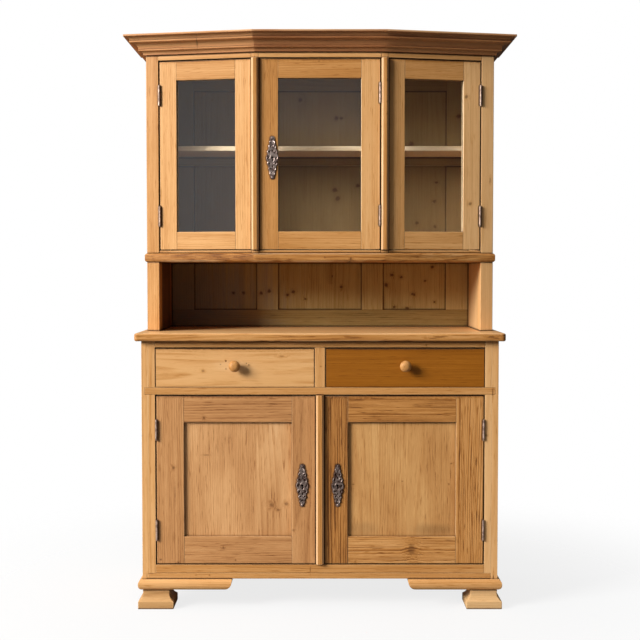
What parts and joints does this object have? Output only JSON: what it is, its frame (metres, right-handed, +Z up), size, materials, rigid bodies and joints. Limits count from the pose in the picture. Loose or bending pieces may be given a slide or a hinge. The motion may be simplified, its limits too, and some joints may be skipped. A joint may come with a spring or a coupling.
{
  "type": "hutch",
  "caption": "Free-standing pine hutch: canted glazed vitrine with a moulded cornice over an open niche, worktop, drawers and panelled doors on flared block feet.",
  "frame": {"origin": "on the floor at the middle of the bounding box", "axes": "+Z up, the front with its doors faces -Y, +X to the viewer's right"},
  "size_m": [1.298, 0.5, 1.889],
  "materials": {
    "pine": "waxed, worn",
    "dark_pine": "stained, waxed",
    "worktop_pine": "waxed, worn",
    "back_pine": "waxed",
    "inner_pine": "bare",
    "amber_pine": "waxed",
    "knob_wood": "turned, waxed",
    "glass": "clear",
    "aged_brass": "cast, aged",
    "iron": "worn"
  },
  "bodies": {
    "case": {"feet": "pine", "foot_brackets": "pine", "base_bottom_board": "pine", "base_sides": "pine", "base_stiles": "pine", "base_rails": "pine", "drawer_divider": "pine", "base_back_boards": "inner_pine", "worktop": "worktop_pine", "mullions": "pine", "base_centre_post": "pine", "cover_strips": "pine", "upper_posts": "pine", "upper_side_boards": "pine", "waist_board": "pine", "upper_rails": "pine", "vitrine_top_board": "inner_pine", "vitrine_shelf": "inner_pine", "shelf_cleats": "inner_pine", "base_shelf": "inner_pine", "cornice": "dark_pine", "back_rails": "back_pine", "back_stiles": "back_pine", "back_panels": "back_pine", "fixed_hinge_leaves": "iron", "hinge_pins": "iron", "drawer_runners": "inner_pine"},
    "upper_left_door": {"upper_left_door_frame": "pine", "upper_left_door_glass": "glass", "upper_left_door_beads": "pine", "upper_left_door_hinge_leaves": "iron"},
    "upper_middle_door": {"upper_middle_door_escutcheon": "aged_brass", "upper_middle_door_lock_case": "iron", "upper_middle_door_frame": "pine", "upper_middle_door_glass": "glass", "upper_middle_door_beads": "pine", "upper_middle_door_hinge_leaves": "iron"},
    "upper_middle_door_lock_bolt": {"upper_middle_door_lock_bolt": "iron"},
    "upper_right_door": {"upper_right_door_frame": "pine", "upper_right_door_glass": "glass", "upper_right_door_beads": "pine", "upper_right_door_hinge_leaves": "iron"},
    "lower_left_door": {"lower_left_door_escutcheon": "aged_brass", "lower_left_door_lock_case": "iron", "lower_left_door_frame": "pine", "lower_left_door_panel": "pine", "lower_left_door_hinge_leaves": "iron"},
    "lower_left_door_lock_bolt": {"lower_left_door_lock_bolt": "iron"},
    "lower_right_door": {"lower_right_door_escutcheon": "aged_brass", "lower_right_door_lock_case": "iron", "lower_right_door_frame": "pine", "lower_right_door_panel": "pine", "lower_right_door_hinge_leaves": "iron"},
    "lower_right_door_lock_bolt": {"lower_right_door_lock_bolt": "iron"},
    "left_drawer": {"left_drawer_front": "pine", "left_drawer_box": "inner_pine", "left_drawer_knob": "knob_wood"},
    "right_drawer": {"right_drawer_front": "amber_pine", "right_drawer_box": "inner_pine", "right_drawer_knob": "knob_wood"}
  },
  "joints": [
    {"name": "upper_left_door_hinge", "type": "hinge", "parent": "case", "child": "upper_left_door", "pos_m": [-0.53673, -0.09932, 1.179], "axis": [0, 0, -1], "range_deg": [0, 110]},
    {"name": "upper_middle_door_hinge", "type": "hinge", "parent": "case", "child": "upper_middle_door", "pos_m": [0.198, -0.1624, 1.179], "axis": [0, 0, 1], "range_deg": [0, 105]},
    {"name": "upper_middle_door_bolt_slide", "type": "slide", "parent": "upper_middle_door", "child": "upper_middle_door_lock_bolt", "axis": [-1, 0, 0], "range_m": [0, 0.008]},
    {"name": "upper_right_door_hinge", "type": "hinge", "parent": "case", "child": "upper_right_door", "pos_m": [0.53673, -0.09932, 1.179], "axis": [0, 0, 1], "range_deg": [0, 110]},
    {"name": "lower_left_door_hinge", "type": "hinge", "parent": "case", "child": "lower_left_door", "pos_m": [-0.536, -0.2214, 0.145], "axis": [0, 0, -1], "range_deg": [0, 110]},
    {"name": "lower_left_door_bolt_slide", "type": "slide", "parent": "lower_left_door", "child": "lower_left_door_lock_bolt", "axis": [1, 0, 0], "range_m": [0, 0.008]},
    {"name": "lower_right_door_hinge", "type": "hinge", "parent": "case", "child": "lower_right_door", "pos_m": [0.536, -0.2214, 0.145], "axis": [0, 0, 1], "range_deg": [0, 110]},
    {"name": "lower_right_door_bolt_slide", "type": "slide", "parent": "lower_right_door", "child": "lower_right_door_lock_bolt", "axis": [-1, 0, 0], "range_m": [0, 0.008]},
    {"name": "left_drawer_slide", "type": "slide", "parent": "case", "child": "left_drawer", "axis": [0, -1, 0], "range_m": [0, 0.33]},
    {"name": "right_drawer_slide", "type": "slide", "parent": "case", "child": "right_drawer", "axis": [0, -1, 0], "range_m": [0, 0.33]}
  ]
}
